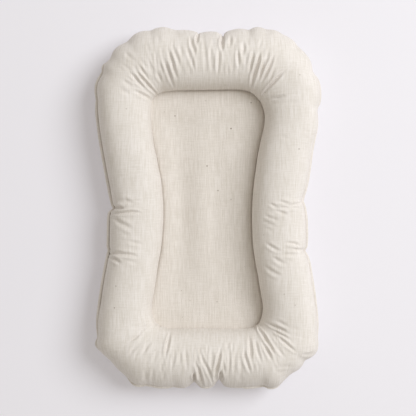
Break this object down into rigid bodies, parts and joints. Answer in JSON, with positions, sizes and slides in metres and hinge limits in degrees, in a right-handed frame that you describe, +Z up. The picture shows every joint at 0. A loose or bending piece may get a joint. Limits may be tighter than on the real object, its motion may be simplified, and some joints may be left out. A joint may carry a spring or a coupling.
{
  "type": "infant lounger",
  "caption": "Unbleached cotton lounger: a stuffed bolster, hourglass in plan, sewn round a two-layer sling, with a raised outer edge and hand-closed stuffing openings.",
  "frame": {"origin": "on the floor, under the middle of the lounger's length and width", "axes": "+Z up, +Y towards the head end, +X to the right of someone who looks down at it with the head end up"},
  "size_m": [0.459, 0.733, 0.109],
  "materials": {
    "cotton": "unbleached plain-weave cotton with slubs and seed flecks, matte",
    "fibre": "loose white fibre, matte",
    "thread": "ecru sewing thread"
  },
  "bodies": {
    "root": {"bolster_top_panel": "cotton", "bolster_under_panel": "cotton", "edge_welt": "cotton", "sling_top_layer": "cotton", "sling_under_layer": "cotton", "outer_seam_thread": "thread", "inner_seam_thread": "thread", "head_filling": "fibre", "right_filling": "fibre", "foot_filling": "fibre", "left_filling": "fibre", "head_closing_thread": "thread", "right_closing_thread": "thread", "foot_closing_thread": "thread", "left_closing_thread": "thread"}
  },
  "joints": []
}
